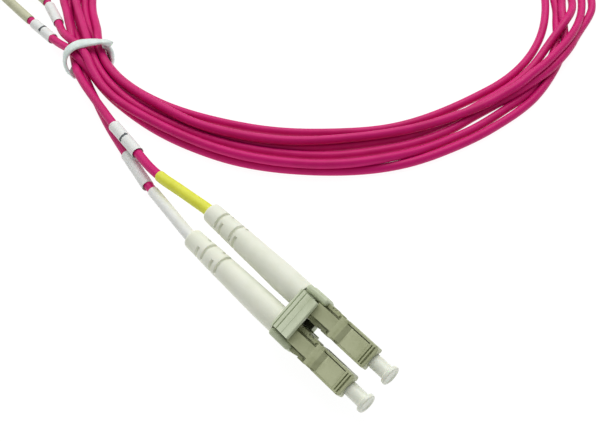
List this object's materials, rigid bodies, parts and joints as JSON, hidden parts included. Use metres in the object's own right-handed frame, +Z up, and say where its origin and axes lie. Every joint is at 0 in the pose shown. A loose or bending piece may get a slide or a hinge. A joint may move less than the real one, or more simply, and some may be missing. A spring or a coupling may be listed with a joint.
{
  "type": "fiber optic patch cord",
  "caption": "Duplex fibre optic patch cord, wound in a tied round coil, with a clipped pair of small latching connectors at each end that plug into adapters or transceivers.",
  "frame": {"origin": "on the floor, under the middle of the near connector pair", "axes": "+Z up, +Y along the near connectors towards their tips, +X across them"},
  "size_m": [0.157, 0.2013, 0.0118],
  "materials": {
    "olive_plastic": "moulded olive-grey connector plastic, satin",
    "boot_plastic": "soft off-white moulded boot, matt",
    "cap_plastic": "translucent off-white dust cap",
    "ceramic": "polished white zirconia ceramic",
    "steel": "plain turned metal",
    "jacket": "magenta PVC cord jacket, satin",
    "sleeve_yellow": "yellow shrink sleeve",
    "sleeve_white": "white shrink sleeve",
    "sleeve_khaki": "khaki shrink sleeve",
    "label_white": "white label tube with a plain number",
    "tie_plastic": "pale plastic-coated twist tie"
  },
  "bodies": {
    "root": {"near_housing_a": "olive_plastic", "near_spring_a": "steel", "near_back_post_a": "steel", "near_crimp_ring_a": "steel", "near_boot_a": "boot_plastic", "near_housing_b": "olive_plastic", "near_spring_b": "steel", "near_back_post_b": "steel", "near_crimp_ring_b": "steel", "near_boot_b": "boot_plastic", "near_clip_body": "olive_plastic", "far_housing_a": "olive_plastic", "far_spring_a": "steel", "far_back_post_a": "steel", "far_crimp_ring_a": "steel", "far_boot_a": "boot_plastic", "far_housing_b": "olive_plastic", "far_spring_b": "steel", "far_back_post_b": "steel", "far_crimp_ring_b": "steel", "far_boot_b": "boot_plastic", "far_clip_body": "olive_plastic", "near_leg_a": "jacket", "near_leg_b": "jacket", "far_leg_a": "jacket", "far_leg_b": "jacket", "near_id_sleeve_a": "sleeve_yellow", "near_id_sleeve_b": "sleeve_white", "far_id_sleeve_a": "sleeve_khaki", "far_id_sleeve_b": "sleeve_khaki", "cord_coil": "jacket", "twist_tie": "tie_plastic"},
    "near_trigger": {"near_clip_trigger": "olive_plastic"},
    "near_latch_a": {"near_latch_arm_a": "olive_plastic"},
    "near_latch_b": {"near_latch_arm_b": "olive_plastic"},
    "near_ferrule_unit_a": {"near_ferrule_a": "ceramic", "near_ferrule_holder_a": "steel"},
    "near_ferrule_unit_b": {"near_ferrule_b": "ceramic", "near_ferrule_holder_b": "steel"},
    "near_cap_a": {"near_dust_cap_a": "cap_plastic"},
    "near_cap_b": {"near_dust_cap_b": "cap_plastic"},
    "far_trigger": {"far_clip_trigger": "olive_plastic"},
    "far_latch_a": {"far_latch_arm_a": "olive_plastic"},
    "far_latch_b": {"far_latch_arm_b": "olive_plastic"},
    "far_ferrule_unit_a": {"far_ferrule_a": "ceramic", "far_ferrule_holder_a": "steel"},
    "far_ferrule_unit_b": {"far_ferrule_b": "ceramic", "far_ferrule_holder_b": "steel"},
    "far_cap_a": {"far_dust_cap_a": "cap_plastic"},
    "far_cap_b": {"far_dust_cap_b": "cap_plastic"},
    "near_label_a": {"near_label_tube_a": "label_white"},
    "near_label_b": {"near_label_tube_b": "label_white"},
    "far_label_a": {"far_label_tube_a": "label_white"},
    "far_label_b": {"far_label_tube_b": "label_white"}
  },
  "joints": [
    {"name": "near_trigger_press", "type": "hinge", "parent": "root", "child": "near_trigger", "pos_m": [0.00155, 0.0037, 0.00867], "axis": [-0.8857, 0, 0.4642], "range_deg": [0, 8], "stiffness_Nm_per_rad": 0.002},
    {"name": "near_latch_flex_a", "type": "hinge", "parent": "root", "child": "near_latch_a", "pos_m": [-0.00197, 0.0186, 0.00868], "axis": [0.8857, 0, -0.4642], "range_deg": [0, 3.2], "stiffness_Nm_per_rad": 0.001},
    {"name": "near_latch_flex_b", "type": "hinge", "parent": "root", "child": "near_latch_b", "pos_m": [0.00357, 0.0186, 0.00578], "axis": [0.8857, 0, -0.4642], "range_deg": [0, 3.2], "stiffness_Nm_per_rad": 0.001},
    {"name": "near_ferrule_float_a", "type": "slide", "parent": "root", "child": "near_ferrule_unit_a", "axis": [0, -1, 0], "range_m": [0, 0.001], "stiffness_N_per_m": 30, "deforming": ["near_spring_a"]},
    {"name": "near_ferrule_float_b", "type": "slide", "parent": "root", "child": "near_ferrule_unit_b", "axis": [0, -1, 0], "range_m": [0, 0.001], "stiffness_N_per_m": 30, "deforming": ["near_spring_b"]},
    {"name": "near_cap_pull_a", "type": "slide", "parent": "root", "child": "near_cap_a", "axis": [0, 1, 0], "range_m": [0, 0.012]},
    {"name": "near_cap_pull_b", "type": "slide", "parent": "root", "child": "near_cap_b", "axis": [0, 1, 0], "range_m": [0, 0.012]},
    {"name": "far_trigger_press", "type": "hinge", "parent": "root", "child": "far_trigger", "pos_m": [-0.01368, -0.1548, 0.0066], "axis": [1, 0, 0], "range_deg": [0, 8], "stiffness_Nm_per_rad": 0.002},
    {"name": "far_latch_flex_a", "type": "hinge", "parent": "root", "child": "far_latch_a", "pos_m": [-0.01056, -0.1697, 0.00498], "axis": [-1, 0, 0], "range_deg": [0, 3.2], "stiffness_Nm_per_rad": 0.001},
    {"name": "far_latch_flex_b", "type": "hinge", "parent": "root", "child": "far_latch_b", "pos_m": [-0.01681, -0.1697, 0.00498], "axis": [-1, 0, 0], "range_deg": [0, 3.2], "stiffness_Nm_per_rad": 0.001},
    {"name": "far_ferrule_float_a", "type": "slide", "parent": "root", "child": "far_ferrule_unit_a", "axis": [0, 1, 0], "range_m": [0, 0.001], "stiffness_N_per_m": 30, "deforming": ["far_spring_a"]},
    {"name": "far_ferrule_float_b", "type": "slide", "parent": "root", "child": "far_ferrule_unit_b", "axis": [0, 1, 0], "range_m": [0, 0.001], "stiffness_N_per_m": 30, "deforming": ["far_spring_b"]},
    {"name": "far_cap_pull_a", "type": "slide", "parent": "root", "child": "far_cap_a", "axis": [0, -1, 0], "range_m": [0, 0.012]},
    {"name": "far_cap_pull_b", "type": "slide", "parent": "root", "child": "far_cap_b", "axis": [0, -1, 0], "range_m": [0, 0.012]},
    {"name": "near_label_slide_a", "type": "slide", "parent": "root", "child": "near_label_a", "axis": [0.1166, 0.9916, 0.0553], "range_m": [-0.0012, 0.0012]},
    {"name": "near_label_slide_b", "type": "slide", "parent": "root", "child": "near_label_b", "axis": [0.1832, 0.983, 0.0109], "range_m": [-0.0012, 0.0012]},
    {"name": "far_label_slide_a", "type": "slide", "parent": "root", "child": "far_label_a", "axis": [-0.023, 0.9997, -0.0005], "range_m": [-0.0012, 0.0012]},
    {"name": "far_label_slide_b", "type": "slide", "parent": "root", "child": "far_label_b", "axis": [0.2649, 0.9642, -0.0108], "range_m": [-0.001, 0.0012]}
  ],
  "couplings": [
    {"joint": "near_latch_flex_a", "follows": "near_trigger_press", "ratio": 0.4},
    {"joint": "near_latch_flex_b", "follows": "near_trigger_press", "ratio": 0.4},
    {"joint": "far_latch_flex_a", "follows": "far_trigger_press", "ratio": 0.4},
    {"joint": "far_latch_flex_b", "follows": "far_trigger_press", "ratio": 0.4}
  ]
}
